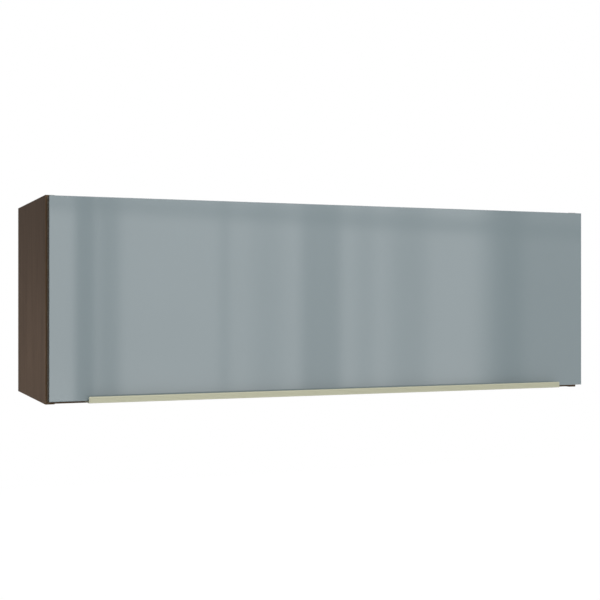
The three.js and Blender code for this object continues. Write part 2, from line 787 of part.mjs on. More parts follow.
// The steel plate behind the case, with four lugs screwed to the side board.
function stayPlate(at) {
  const [y, z] = inPlane(stayCasePivot);
  const front = y - stayCaseFront;
  const lugs = [front + stayLugInset, front + stayCaseLength - stayLugInset];
  const reach = caseHalf + stayLugReach;
  const bridges = lugs.map((lugY) => slabX(barOutline([lugY, z - reach], stayLugRadius,
    [lugY, z + reach], stayLugRadius), at(0), at(stayPlateThickness), 3));
  const holes = lugs.flatMap((lugY) => [-reach, reach].map((up) => rodX(stayLugBore / 2,
    at(-past), at(stayPlateThickness + past), lugY, z + up, 4)));
  const plate = slabX(caseOutline(stayPlateRim), at(0), at(stayPlateThickness), 2);
  const hub = rodX(stayHubRadius, at(stayPlateThickness / 2), at(leverIn - fitClearance), y, z, 7);
  const pin = rodX(stayPinR, at(leverIn - past), at(leverOut + stayLayerGap / 2), y, z, 7);
  return cut(fuse([plate, ...bridges, hub, pin]), holes);
}

// The spring's case: a rounded cover, open at the plate, with shallow panels in its face.
function stayCase(at) {
  const [y, z] = inPlane(stayCasePivot);
  const front = y - stayCaseFront;
  const e = stayCaseEase;
  const depth = caseOut + 2 * e;
  const geometry = new THREE.ExtrudeGeometry(caseOutline(-e), {
    depth: depth - 2 * e,
    bevelEnabled: true,
    bevelThickness: e,
    bevelSize: e,
    bevelSegments: 2,
    curveSegments: 2,
  });
  const low = Math.min(at(caseOut), at(caseOut - depth));
  geometry.applyMatrix4(alongX(low + e));
  const body = toSolid(geometry).intersect(slabX(caseOutline(past), at(stayPlateThickness),
    at(caseOut + past), 3));
  const hollow = slabX(caseOutline(-stayCaseWall), at(stayPlateThickness - past),
    at(caseOut - stayCaseWall), 1);
  const hubHole = rodX(stayHubRadius + fitClearance, at(0), at(caseOut + past), y, z, 7);
  const tensionHole = rodY(tensionerBore / 2, front - past, front + stayCaseWall + past,
    at(stayPlateThickness + stayCaseThickness / 2), z - caseHalf / 2, 5);
  const panelY = y + stayHubRadius + stayPanelMargin;
  const panelRun = front + stayCaseLength - stayPanelMargin - panelY;
  const pitch = (panelRun + stayRibWidth) / stayPanels;
  const panels = Array.from({ length: stayPanels }, (_, i) => slabX(roundedRectangle(
    panelY + i * pitch, panelY + (i + 1) * pitch - stayRibWidth,
    z - caseHalf + stayPanelMargin, z + caseHalf - stayPanelMargin, stayPanelCorner),
  at(caseOut - stayPanelDepth), at(caseOut + past), 1));
  return cut(body, [hollow, hubHole, tensionHole, ...panels]);
}

function stayLever(at) {
  const root = inPlane(stayCasePivot);
  const elbow = inPlane(stayElbowPivot);
  const r = stayLeverWidth / 2;
  const bar = slabX(barOutline(root, r, elbow, r - stayLeverTaper / 2), at(leverIn), at(leverOut), 5);
  const pinEnd = linkOuter + fitClearance;
  const pin = rodX(stayPinR, at(leverOut - past), at(pinEnd), ...elbow, 7);
  const head = rodX(stayPinR + rivetHeadReach, at(pinEnd), at(pinEnd + rivetHeadHeight),
    ...elbow, 8);
  const eye = rodX(stayEyeR, at(leverIn - past), at(leverOut + past), ...root, 7);
  return cut(fuse([bar, pin, head]), [eye]);
}

function stayLink(at) {
  const elbow = inPlane(stayElbowPivot);
  const flap = inPlane(stayFlapPivot);
  const r = stayLinkWidth / 2;
  const bar = slabX(barOutline(elbow, r, flap, r - stayLinkTaper / 2), at(linkInner),
    at(linkOuter), 6);
  return cut(bar, [
    rodX(stayEyeR, at(linkInner - past), at(linkOuter + past), ...elbow, 7),
    rodX(stayEyeR + stayPlay, at(linkInner - past), at(linkOuter + past), ...flap, 7),
  ]);
}

// The flap's bracket: a screwed foot and a web that carries the link's pin.
function stayBracket(at) {
  const [y, z] = inPlane(stayFlapPivot);
  const face = -flapGap;
  const foot = face + bracketFootSheet;
  const half = bracketLength / 2;
  const webHalf = half - bracketWebInset;
  const r = bracketEyeRadius;
  const base = slabY(roundedRectangle(Math.min(at(bracketIn), at(bracketIn + bracketWidth)),
    Math.max(at(bracketIn), at(bracketIn + bracketWidth)), z - half, z + half, bracketCorner),
  face, foot, 3);
  const web = slabX(polygon([
    [face, z - webHalf],
    [foot, z - webHalf],
    [y + r / 2, z - r + past],
    [y + r / 2, z + r - past],
    [foot, z + webHalf],
    [face, z + webHalf],
  ]), at(bracketIn), at(bracketOut));
  const eye = slabX(disc(y, z, r), at(bracketIn), at(bracketOut), 8);
  const pin = rodX(stayPinR, at(linkInner - stayLayerGap / 2), at(bracketOut), y, z, 7);
  const holes = [-1, 1].map((up) => rodY(bracketScrewBore / 2, face - past, foot + past,
    at(bracketIn + bracketScrewInset), z + up * bracketScrewSpacing / 2, 5));
  return cut(fuse([base, web, eye, pin]), holes);
}

for (const [name, side] of sides) {
  const group = linkageGroup(side * innerHalf);
  const at = (inward) => -side * inward;
  addPiece(`stay_plate_${name}`, stayPlate(at), zincSteel, group);
  addPiece(`stay_case_${name}`, stayCase(at), greyPlastic, group);
  addPiece(`stay_lever_${name}`, stayLever(at), nickelSteel, group);
  addPiece(`stay_link_${name}`, stayLink(at), nickelSteel, group);
  addPiece(`stay_bracket_${name}`, stayBracket(at), nickelSteel, group);
}

export default cabinet;
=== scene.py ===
import math

import bpy
from mathutils import Matrix, Vector


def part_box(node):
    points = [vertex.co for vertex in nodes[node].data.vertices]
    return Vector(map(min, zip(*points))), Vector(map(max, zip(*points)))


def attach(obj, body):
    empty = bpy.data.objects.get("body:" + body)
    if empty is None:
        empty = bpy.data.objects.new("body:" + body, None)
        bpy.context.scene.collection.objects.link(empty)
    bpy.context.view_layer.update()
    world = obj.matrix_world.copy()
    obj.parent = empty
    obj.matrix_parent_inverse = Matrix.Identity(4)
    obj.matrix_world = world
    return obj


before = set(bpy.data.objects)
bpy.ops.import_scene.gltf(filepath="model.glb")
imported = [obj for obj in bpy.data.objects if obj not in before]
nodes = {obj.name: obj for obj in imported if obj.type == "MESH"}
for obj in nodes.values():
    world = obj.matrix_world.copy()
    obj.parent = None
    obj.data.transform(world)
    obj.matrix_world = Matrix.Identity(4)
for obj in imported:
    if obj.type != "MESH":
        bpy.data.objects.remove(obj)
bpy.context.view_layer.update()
mm = 0.001
print("frame loaded:", len(nodes), "nodes")


# camera and room

camera = {
    "place": (-0.887, -2.141, 0.182),
    "turn": -22.12,  # degrees about Z, level
    "sensor": 36,  # mm
    "lens": 68.55,  # mm
    "shiftUp": -0.00045,
}

cameraData = bpy.data.cameras.new("frontLeftCamera")
cameraData.sensor_width = camera["sensor"]
cameraData.lens = camera["lens"]
cameraData.shift_y = camera["shiftUp"]
cameraObject = bpy.data.objects.new("frontLeftCamera", cameraData)
cameraObject.location = camera["place"]
cameraObject.rotation_euler = (math.radians(90), 0, math.radians(camera["turn"]))
bpy.context.collection.objects.link(cameraObject)
bpy.context.scene.camera = cameraObject
bpy.context.scene.view_settings.view_transform = "Standard"


def linear(hexColour):
    # sRGB hex to the linear values that sockets take
    parts = [int(hexColour[i:i + 2], 16) / 255 for i in (1, 3, 5)]
    return [c / 12.92 if c <= 0.04045 else ((c + 0.055) / 1.055) ** 2.4 for c in parts] + [1]


def addNode(tree, kind, settings=None, inputs=None):
    node = tree.nodes.new(kind)
    for name, value in (settings or {}).items():
        setattr(node, name, value)
    for socket, value in (inputs or {}).items():
        if isinstance(value, bpy.types.NodeSocket):
            tree.links.new(value, node.inputs[socket])
        else:
            node.inputs[socket].default_value = value
    return node


def setStops(ramp, stops):
    # stops are (place, colour), the colour a hex value or a grey level
    elements = ramp.color_ramp.elements
    while len(elements) > 1:
        elements.remove(elements[-1])
    for number, (place, colour) in enumerate(stops):
        element = elements[0] if number == 0 else elements.new(place)
        element.position = place
        element.color = linear(colour) if isinstance(colour, str) else (colour, colour, colour, 1)
    return ramp.outputs["Color"]


def newMaterial(name):
    material = bpy.data.materials.new(name)
    material.use_nodes = True
    tree = material.node_tree
    tree.nodes.clear()
    return material, tree


room = {
    "glow": 0.685,  # what the world gives to everything but the camera
    "mirrored": 0.62,  # what gloss and metal see of it
    "mirroredBehind": 0.03,  # and what they see towards the wall behind the cabinet
    "behindFrom": 0.55,  # as the Y part of a direction
    "behindFull": 0.90,
    "floorSize": 30,
    "floorDrop": 2.6,  # the cabinet hangs high enough to be seen from below
    "paper": "#f4f4f2",
    "shade": 0.04,  # how much of the paper's own shading the camera sees
    "paperWhite": 1.02,  # and the white that it sees with it
}
pureWhite = (1, 1, 1, 1)

world = bpy.data.worlds.new("whiteRoom")
bpy.context.scene.world = world
world.use_nodes = True
tree = world.node_tree
tree.nodes.clear()
rays = addNode(tree, "ShaderNodeLightPath")
plain = addNode(tree, "ShaderNodeBackground", None, {"Strength": room["glow"]})
direction = addNode(tree, "ShaderNodeTexCoord")
heading = addNode(tree, "ShaderNodeSeparateXYZ", None, {0: direction.outputs["Generated"]})
fade = addNode(tree, "ShaderNodeMapRange", {"interpolation_type": "SMOOTHSTEP"}, {
    "Value": heading.outputs["Y"], "From Min": room["behindFrom"], "From Max": room["behindFull"],
    "To Min": room["mirrored"], "To Max": room["mirroredBehind"]})
mirrored = addNode(tree, "ShaderNodeBackground", None, {"Strength": fade.outputs[0]})
seen = addNode(tree, "ShaderNodeBackground", None, {"Strength": 1.0})
for background in (plain, mirrored, seen):
    background.inputs["Color"].default_value = pureWhite
glossMix = addNode(tree, "ShaderNodeMixShader", None, {
    0: rays.outputs["Is Glossy Ray"], 1: plain.outputs[0], 2: mirrored.outputs[0]})
seenMix = addNode(tree, "ShaderNodeMixShader", None, {
    0: rays.outputs["Is Camera Ray"], 1: glossMix.outputs[0], 2: seen.outputs[0]})
addNode(tree, "ShaderNodeOutputWorld", None, {"Surface": seenMix.outputs[0]})

bpy.ops.object.select_all(action="DESELECT")
bpy.ops.mesh.primitive_plane_add(size=room["floorSize"], location=(0, 0, -room["floorDrop"]))
bpy.ops.object.transform_apply(location=True, rotation=True, scale=True)
floor = bpy.context.active_object
floor.name = "studioFloor"
material, tree = newMaterial("whitePaperFloor")
rays = addNode(tree, "ShaderNodeLightPath")
paper = addNode(tree, "ShaderNodeBsdfDiffuse", None, {"Color": linear(room["paper"])})
white = addNode(tree, "ShaderNodeEmission", None, {
    "Color": pureWhite, "Strength": room["paperWhite"]})
veil = addNode(tree, "ShaderNodeMixShader", None, {
    0: room["shade"], 1: white.outputs[0], 2: paper.outputs[0]})
both = addNode(tree, "ShaderNodeMixShader", None, {
    0: rays.outputs["Is Camera Ray"], 1: paper.outputs[0], 2: veil.outputs[0]})
addNode(tree, "ShaderNodeOutputMaterial", None, {"Surface": both.outputs[0]})
floor.data.materials.append(material)
floor.visible_glossy = False  # so that the light wall's foot shows in the gloss front

softBoxes = {
    # name: place, aim, width, height, watts
    "frontBox": ((-0.1, -3.4, 1.5), (0, 0, 0.15), 0.9, 1.8, 60),
    "topBox": ((0.0, -0.4, 2.6), (0, 0, 0.2), 2.4, 2.0, 26),
    "lowLeftBox": ((-0.90, 0.03, 0.04), (-0.55, 0.03, 0.03), 0.36, 0.06, 0.85),
}
for name, (place, aim, width, height, watts) in softBoxes.items():
    lamp = bpy.data.lights.new(name, "AREA")
    lamp.shape = "RECTANGLE"
    lamp.size = width
    lamp.size_y = height
    lamp.energy = watts
    lampObject = bpy.data.objects.new(name, lamp)
    lampObject.location = place
    lampObject.rotation_euler = (Vector(aim) - Vector(place)).to_track_quat("-Z", "Y").to_euler()
    lampObject.visible_camera = False
    lampObject.visible_glossy = False
    bpy.context.collection.objects.link(lampObject)

# The wide light wall that the gloss front mirrors, with darker posts and a rail in it. Places
# are metres along X and Z on a wall this far ahead of the flap.
lightWall = {
    "ahead": 3.0,
    # axis, where it ends and where it is full: between them it fades to what the world gives
    "ends": {
        "left": ("X", -3.6, -0.6),
        "right": ("X", 7.4, 4.4),
        "foot": ("Z", -3.4, -0.6),
        "head": ("Z", 4.0, 1.2),
    },
    "strength": 1.3,
    "posts": [
        # from, to, how soft their edges are and how much darker they are
        (0.08, 0.165, 0.05, 0.78), (0.175, 0.275, 0.08, 0.53), (0.735, 0.79, 0.06, 0.26),
        (0.90, 1.045, 0.12, 0.22), (1.145, 1.345, 0.08, 0.51), (1.43, 1.52, 0.08, 0.20),
        (1.62, 1.81, 0.14, 0.33), (2.13, 2.85, 0.18, 0.61), (2.22, 2.37, 0.12, 0.60),
    ],
    "rail": (0.568, 0.65, 0.07, 0.42),  # the same, upwards
    "railSlope": 0.028,  # how much lower it is for each metre along X
    "footGain": 0.13,  # how much brighter the wall's foot is
    "footFrom": 0.0,
    "footFull": -0.30,
}


def darkened(tree, along, post):
    # 1 beside a post and less on it, with soft edges
    start, end, soft, darker = post
    offset = addNode(tree, "ShaderNodeMath", {"operation": "SUBTRACT"}, {
        0: along, 1: (start + end) / 2})
    distance = addNode(tree, "ShaderNodeMath", {"operation": "ABSOLUTE"}, {0: offset.outputs[0]})
    half = (end - start) / 2
    return addNode(tree, "ShaderNodeMapRange", {"interpolation_type": "SMOOTHSTEP"}, {
        "Value": distance.outputs[0], "From Min": half - soft / 2, "From Max": half + soft / 2,
        "To Min": 1 - darker, "To Max": 1.0}).outputs[0]


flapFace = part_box("flap_panel")[0][1]
wallY = flapFace - lightWall["ahead"]
left, right, foot, head = (end for axis, end, full in lightWall["ends"].values())
bpy.ops.object.select_all(action="DESELECT")
bpy.ops.mesh.primitive_plane_add(
    size=1, location=((left + right) / 2, wallY, (foot + head) / 2))
bpy.ops.transform.resize(value=(right - left, head - foot, 1))
wall = bpy.context.active_object
bpy.ops.transform.rotate(value=math.radians(90), orient_axis="X", center_override=wall.location)
bpy.ops.object.transform_apply(location=True, rotation=True, scale=True)
wall.name = "lightWall"
material, tree = newMaterial("lightWallGlow")
spot = addNode(tree, "ShaderNodeTexCoord")
axes = addNode(tree, "ShaderNodeSeparateXYZ", None, {0: spot.outputs["Object"]})
raised = addNode(tree, "ShaderNodeMath", {"operation": "MULTIPLY_ADD"}, {
    0: axes.outputs["X"], 1: lightWall["railSlope"], 2: axes.outputs["Z"]})
footing = addNode(tree, "ShaderNodeMapRange", {"interpolation_type": "SMOOTHSTEP"}, {
    "Value": axes.outputs["Z"], "From Min": lightWall["footFrom"],
    "From Max": lightWall["footFull"], "To Min": 1.0, "To Max": 1 + lightWall["footGain"]})
shares = [darkened(tree, axes.outputs["X"], post) for post in lightWall["posts"]]
inside = 1.0
for axis, end, full in lightWall["ends"].values():
    fade = addNode(tree, "ShaderNodeMapRange", {"interpolation_type": "SMOOTHSTEP"}, {
        "Value": axes.outputs[axis], "From Min": end, "From Max": full,
        "To Min": room["mirrored"] / lightWall["strength"], "To Max": 1.0})
    inside = addNode(tree, "ShaderNodeMath", {"operation": "MINIMUM"}, {
        0: inside, 1: fade.outputs[0]}).outputs[0]
shares += [darkened(tree, raised.outputs[0], lightWall["rail"]), footing.outputs[0], inside]
level = addNode(tree, "ShaderNodeMath", {"operation": "MULTIPLY"}, {
    0: lightWall["strength"], 1: shares[0]})
for share in shares[1:]:
    level = addNode(tree, "ShaderNodeMath", {"operation": "MULTIPLY"}, {
        0: level.outputs[0], 1: share})
emission = addNode(tree, "ShaderNodeEmission", None, {"Strength": level.outputs[0]})
addNode(tree, "ShaderNodeOutputMaterial", None, {"Surface": emission.outputs[0]})
wall.data.materials.append(material)
wall.visible_camera = False
wall.visible_diffuse = False
wall.visible_shadow = False
print("camera, floor and lights set")


# finishes

facesIt = 0.5  # a face whose normal lies this far along an axis is taken to face that way


def makeMelamine(name, grainAlong):
    # Woodgrain melamine paper pressed on particle board: matt, with fine pores along the grain.
    finish = {
        "dark": "#43372d",
        "mid": "#4f4136",
        "light": "#5b4b3f",
        "stops": (0.32, 0.5, 0.68),  # where these three lie in the grain's pattern
        "edge": "#56432f",  # the front edging: yellower than the boards, and darkened past its own colour as painted shade for the gap beside the flap
        "core": "#b59468",  # bare chipboard at the rear edges
        "coreDark": "#8d6f49",
        "coreLight": "#cfb184",
        "chip": 2.2,  # mm across a chip
        "poreWidth": 0.7,  # mm across the grain
        "poreLength": 38.0,  # mm along it
        "poreDepth": 0.06,  # mm
        "poreShare": 0.45,  # how much of the pattern is pores, the rest is figure
        "figureWidth": 16.0,  # mm, the broad bands between growth rings
        "figureStretch": 14,  # how many times longer they are
        "roughness": 0.52,
        "shine": 0.16,
    }
    material, tree = newMaterial(name)
    spot = addNode(tree, "ShaderNodeTexCoord")
    across = 1 / (finish["poreWidth"] * mm)
    onward = 1 / (finish["poreLength"] * mm)
    fineScale = [across, across, across]
    fineScale["XYZ".index(grainAlong)] = onward
    wideScale = [1 / (finish["figureWidth"] * mm)] * 3
    figureLength = finish["figureWidth"] * finish["figureStretch"]
    wideScale["XYZ".index(grainAlong)] = 1 / (figureLength * mm)
    fineSpot = addNode(tree, "ShaderNodeMapping", None, {
        "Vector": spot.outputs["Object"], "Scale": fineScale})
    wideSpot = addNode(tree, "ShaderNodeMapping", None, {
        "Vector": spot.outputs["Object"], "Scale": wideScale})
    pores = addNode(tree, "ShaderNodeTexNoise", None, {
        "Vector": fineSpot.outputs[0], "Scale": 1.0, "Detail": 2.0, "Roughness": 0.55})
    figure = addNode(tree, "ShaderNodeTexNoise", None, {
        "Vector": wideSpot.outputs[0], "Scale": 1.0, "Detail": 4.0, "Roughness": 0.6,
        "Distortion": 0.6})
    blend = addNode(tree, "ShaderNodeMix", {"data_type": "FLOAT"}, {
        0: finish["poreShare"], 2: figure.outputs[0], 3: pores.outputs[0]})
    ramp = addNode(tree, "ShaderNodeValToRGB", None, {"Fac": blend.outputs[0]})
    tones = (finish["dark"], finish["mid"], finish["light"])
    grain = setStops(ramp, list(zip(finish["stops"], tones)))
    # edging on what faces the front, in a colour darkened as painted shade, bare chipboard on what
    # faces the wall
    shape = addNode(tree, "ShaderNodeNewGeometry")
    facing = addNode(tree, "ShaderNodeSeparateXYZ", None, {0: shape.outputs["Normal"]})
    front = addNode(tree, "ShaderNodeMath", {"operation": "LESS_THAN"}, {
        0: facing.outputs["Y"], 1: -facesIt})
    rear = addNode(tree, "ShaderNodeMath", {"operation": "GREATER_THAN"}, {
        0: facing.outputs["Y"], 1: facesIt})
    edged = addNode(tree, "ShaderNodeMix", {"data_type": "RGBA", "blend_type": "MIX"}, {
        0: front.outputs[0], 6: grain, 7: linear(finish["edge"])})
    chips = addNode(tree, "ShaderNodeTexVoronoi", None, {
        "Vector": spot.outputs["Object"], "Scale": 1 / (finish["chip"] * mm),
        "Randomness": 1.0})
    chipTone = addNode(tree, "ShaderNodeValToRGB", None, {"Fac": chips.outputs["Color"]})
    chipColour = setStops(chipTone, [
        (0.1, finish["coreDark"]), (0.5, finish["core"]), (0.9, finish["coreLight"])])
    coloured = addNode(tree, "ShaderNodeMix", {"data_type": "RGBA", "blend_type": "MIX"}, {
        0: rear.outputs[0], 6: edged.outputs[2], 7: chipColour})
    bump = addNode(tree, "ShaderNodeBump", None, {
        "Height": pores.outputs[0], "Strength": 0.25, "Distance": finish["poreDepth"] * mm})
    shader = addNode(tree, "ShaderNodeBsdfPrincipled", None, {
        "Base Color": coloured.outputs[2], "Roughness": finish["roughness"],
        "Specular IOR Level": finish["shine"], "Normal": bump.outputs[0]})
    addNode(tree, "ShaderNodeOutputMaterial", None, {"Surface": shader.outputs[0]})
    return material


def makeLacquer():
    # Sprayed and polished polyurethane lacquer on fibreboard: a clear deep gloss with the
    # faintest orange peel, so lights show as soft-edged bands.
    finish = {
        "body": "#7b878b",
        "deeper": "#788488",
        "edge": "#424746",  # the darker edging at the ends
        "endFacing": 0.8,  # a face whose normal lies this far along X is an end
        "cloudsPerMetre": 6.0,  # slow drift between the two colours
        "roughness": 0.05,
        "ior": 1.5,
        "coat": 1.0,  # the clear top coat over the coloured one
        "coatRoughness": 0.03,
        "peel": 2.6,  # mm from crest to crest
        "peelDepth": 0.02,  # mm
    }
    material, tree = newMaterial("glossLacquer")
    spot = addNode(tree, "ShaderNodeTexCoord")
    peel = addNode(tree, "ShaderNodeTexNoise", None, {
        "Vector": spot.outputs["Object"], "Scale": 1 / (finish["peel"] * mm), "Detail": 1.0})
    cloud = addNode(tree, "ShaderNodeTexNoise", None, {
        "Vector": spot.outputs["Object"], "Scale": finish["cloudsPerMetre"], "Detail": 2.0})
    body = addNode(tree, "ShaderNodeMix", {"data_type": "RGBA", "blend_type": "MIX"}, {
        0: cloud.outputs[0], 6: linear(finish["deeper"]), 7: linear(finish["body"])})
    shape = addNode(tree, "ShaderNodeNewGeometry")
    facing = addNode(tree, "ShaderNodeSeparateXYZ", None, {0: shape.outputs["Normal"]})
    sideways = addNode(tree, "ShaderNodeMath", {"operation": "ABSOLUTE"}, {0: facing.outputs["X"]})
    atEnd = addNode(tree, "ShaderNodeMath", {"operation": "GREATER_THAN"}, {
        0: sideways.outputs[0], 1: finish["endFacing"]})
    coloured = addNode(tree, "ShaderNodeMix", {"data_type": "RGBA", "blend_type": "MIX"}, {
        0: atEnd.outputs[0], 6: body.outputs[2], 7: linear(finish["edge"])})
    bump = addNode(tree, "ShaderNodeBump", None, {
        "Height": peel.outputs[0], "Strength": 0.03, "Distance": finish["peelDepth"] * mm})
    shader = addNode(tree, "ShaderNodeBsdfPrincipled", None, {
        "Base Color": coloured.outputs[2], "Roughness": finish["roughness"],
        "IOR": finish["ior"], "Coat Weight": finish["coat"],
        "Coat Roughness": finish["coatRoughness"], "Normal": bump.outputs[0],
        "Coat Normal": bump.outputs[0]})
    addNode(tree, "ShaderNodeOutputMaterial", None, {"Surface": shader.outputs[0]})
    return material


def makeAnodised():
    # Extruded aluminium, satin etched and anodised to a pale champagne: drawn lines run
    # along its length and it mirrors only broad light.
    finish = {
        "metal": "#b5b59f",
        "metalDeep": "#abab95",
        "lines": 0.5,  # mm between drawn lines
        "lineLength": 400.0,  # mm
        "lineDepth": 0.02,  # mm
        "metallic": 0.45,  # the etched skin scatters part of the light
        "roughness": 0.42,
    }
    material, tree = newMaterial("anodisedChampagne")
    onward = 1 / (finish["lineLength"] * mm)
    across = 1 / (finish["lines"] * mm)
    spot = addNode(tree, "ShaderNodeTexCoord")
    lineSpot = addNode(tree, "ShaderNodeMapping", None, {
        "Vector": spot.outputs["Object"], "Scale": (onward, across, across)})
    lines = addNode(tree, "ShaderNodeTexNoise", None, {
        "Vector": lineSpot.outputs[0], "Scale": 1.0, "Detail": 3.0})
    tone = addNode(tree, "ShaderNodeMix", {"data_type": "RGBA", "blend_type": "MIX"}, {
        0: lines.outputs[0], 6: linear(finish["metalDeep"]), 7: linear(finish["metal"])})
    bump = addNode(tree, "ShaderNodeBump", None, {
        "Height": lines.outputs[0], "Strength": 0.15, "Distance": finish["lineDepth"] * mm})
    shader = addNode(tree, "ShaderNodeBsdfPrincipled", None, {
        "Base Color": tone.outputs[2], "Metallic": finish["metallic"],
        "Roughness": finish["roughness"], "Normal": bump.outputs[0]})
    addNode(tree, "ShaderNodeOutputMaterial", None, {"Surface": shader.outputs[0]})
    return material


def makePlated(name, bright, dull, roughness, grain):
    # Pressed steel under a thin bright plating: slight clouding, fine drawn grain.
    finish = {
        "cloud": 9,  # mm across a cloud
        "smoother": 0.03,  # how much less and more rough the clouds are
        "rougher": 0.05,
        "grainDepth": 0.008,  # mm
    }
    material, tree = newMaterial(name)
    spot = addNode(tree, "ShaderNodeTexCoord")
    cloud = addNode(tree, "ShaderNodeTexNoise", None, {
        "Vector": spot.outputs["Object"], "Scale": 1 / (finish["cloud"] * mm), "Detail": 3.0})
    fine = addNode(tree, "ShaderNodeTexNoise", None, {
        "Vector": spot.outputs["Object"], "Scale": 1 / (grain * mm), "Detail": 2.0})
    tone = addNode(tree, "ShaderNodeMix", {"data_type": "RGBA", "blend_type": "MIX"}, {
        0: cloud.outputs[0], 6: linear(dull), 7: linear(bright)})
    wear = addNode(tree, "ShaderNodeMapRange", None, {
        "Value": cloud.outputs[0], "To Min": roughness - finish["smoother"],
        "To Max": roughness + finish["rougher"]})
    bump = addNode(tree, "ShaderNodeBump", None, {
        "Height": fine.outputs[0], "Strength": 0.05, "Distance": finish["grainDepth"] * mm})
    shader = addNode(tree, "ShaderNodeBsdfPrincipled", None, {
        "Base Color": tone.outputs[2], "Metallic": 1.0, "Roughness": wear.outputs[0],
        "Normal": bump.outputs[0]})
    addNode(tree, "ShaderNodeOutputMaterial", None, {"Surface": shader.outputs[0]})
    return material


def makeMoulded(name, colour, shade, roughness):
    # Injection moulded ABS with a fine spark-eroded skin.
    finish = {
        "skin": 0.8,  # mm across a pit
        "skinDepth": 0.04,  # mm
        "flow": 30,  # mm, where the plastic's tone drifts
        "ior": 1.53,
    }
    material, tree = newMaterial(name)
    spot = addNode(tree, "ShaderNodeTexCoord")
    skin = addNode(tree, "ShaderNodeTexVoronoi", None, {
        "Vector": spot.outputs["Object"], "Scale": 1 / (finish["skin"] * mm)})
    flow = addNode(tree, "ShaderNodeTexNoise", None, {
        "Vector": spot.outputs["Object"], "Scale": 1 / (finish["flow"] * mm), "Detail": 2.0})
    tone = addNode(tree, "ShaderNodeMix", {"data_type": "RGBA", "blend_type": "MIX"}, {
        0: flow.outputs[0], 6: linear(shade), 7: linear(colour)})
    bump = addNode(tree, "ShaderNodeBump", None, {
        "Height": skin.outputs["Distance"], "Strength": 0.2,
        "Distance": finish["skinDepth"] * mm})
    shader = addNode(tree, "ShaderNodeBsdfPrincipled", None, {
        "Base Color": tone.outputs[2], "Roughness": roughness, "IOR": finish["ior"],
        "Normal": bump.outputs[0]})
    addNode(tree, "ShaderNodeOutputMaterial", None, {"Surface": shader.outputs[0]})
    return material


def makeHardboard():
    # Thin hardboard: papered on the inside, bare pressed fibre with a screen mark behind.
    finish = {
        "paperLight": "#76675a",
        "paperDark": "#66584c",
        "fibre": "#8a6238",
        "fibreDark": "#6d4a28",
        "paperGrainLength": 60,  # mm
        "paperGrainWidth": 2,  # mm
        "fibreLength": 4,  # mm
        "mesh": 1.6,  # mm between the screen's wires
        "meshDepth": 0.1,  # mm
        "roughness": 0.6,
    }
    material, tree = newMaterial("hardboardBack")
    onward = 1 / (finish["paperGrainLength"] * mm)
    across = 1 / (finish["paperGrainWidth"] * mm)
    spot = addNode(tree, "ShaderNodeTexCoord")
    grainSpot = addNode(tree, "ShaderNodeMapping", None, {
        "Vector": spot.outputs["Object"], "Scale": (onward, across, across)})
    grain = addNode(tree, "ShaderNodeTexNoise", None, {
        "Vector": grainSpot.outputs[0], "Scale": 1.0, "Detail": 4.0})
    paper = addNode(tree, "ShaderNodeMix", {"data_type": "RGBA", "blend_type": "MIX"}, {
        0: grain.outputs[0], 6: linear(finish["paperDark"]), 7: linear(finish["paperLight"])})
    fibres = addNode(tree, "ShaderNodeTexNoise", None, {
        "Vector": spot.outputs["Object"], "Scale": 1 / (finish["fibreLength"] * mm),
        "Detail": 6.0})
    bare = addNode(tree, "ShaderNodeMix", {"data_type": "RGBA", "blend_type": "MIX"}, {
        0: fibres.outputs[0], 6: linear(finish["fibreDark"]), 7: linear(finish["fibre"])})
    shape = addNode(tree, "ShaderNodeNewGeometry")
    facing = addNode(tree, "ShaderNodeSeparateXYZ", None, {0: shape.outputs["Normal"]})
    rear = addNode(tree, "ShaderNodeMath", {"operation": "GREATER_THAN"}, {
        0: facing.outputs["Y"], 1: facesIt})
    coloured = addNode(tree, "ShaderNodeMix", {"data_type": "RGBA", "blend_type": "MIX"}, {
        0: rear.outputs[0], 6: paper.outputs[2], 7: bare.outputs[2]})
    screen = addNode(tree, "ShaderNodeTexChecker", None, {
        "Vector": spot.outputs["Object"], "Scale": 1 / (finish["mesh"] * mm)})
    height = addNode(tree, "ShaderNodeMath", {"operation": "MULTIPLY"}, {
        0: screen.outputs["Fac"], 1: rear.outputs[0]})
    bump = addNode(tree, "ShaderNodeBump", None, {
        "Height": height.outputs[0], "Strength": 0.3, "Distance": finish["meshDepth"] * mm})
    shader = addNode(tree, "ShaderNodeBsdfPrincipled", None, {
        "Base Color": coloured.outputs[2], "Roughness": finish["roughness"],
        "Normal": bump.outputs[0]})
    addNode(tree, "ShaderNodeOutputMaterial", None, {"Surface": shader.outputs[0]})
    return material


def makeBeech():
    # Turned beech: short dark flecks along the dowel.
    finish = {
        "tones": [(0.3, "#b98f61"), (0.5, "#d0ab7c"), (0.7, "#dcbd92")],
        "fleckLength": 3,  # mm
        "fleckWidth": 0.4,  # mm
        "roughness": 0.65,
    }
    material, tree = newMaterial("turnedBeech")
    onward = 1 / (finish["fleckLength"] * mm)
    across = 1 / (finish["fleckWidth"] * mm)
    spot = addNode(tree, "ShaderNodeTexCoord")
    fleckSpot = addNode(tree, "ShaderNodeMapping", None, {
        "Vector": spot.outputs["Object"], "Scale": (onward, across, across)})
    fleck = addNode(tree, "ShaderNodeTexNoise", None, {
        "Vector": fleckSpot.outputs[0], "Scale": 1.0, "Detail": 2.0})
    ramp = addNode(tree, "ShaderNodeValToRGB", None, {"Fac": fleck.outputs[0]})
    wood = setStops(ramp, finish["tones"])
    shader = addNode(tree, "ShaderNodeBsdfPrincipled", None, {
        "Base Color": wood, "Roughness": finish["roughness"]})
    addNode(tree, "ShaderNodeOutputMaterial", None, {"Surface": shader.outputs[0]})
    return material


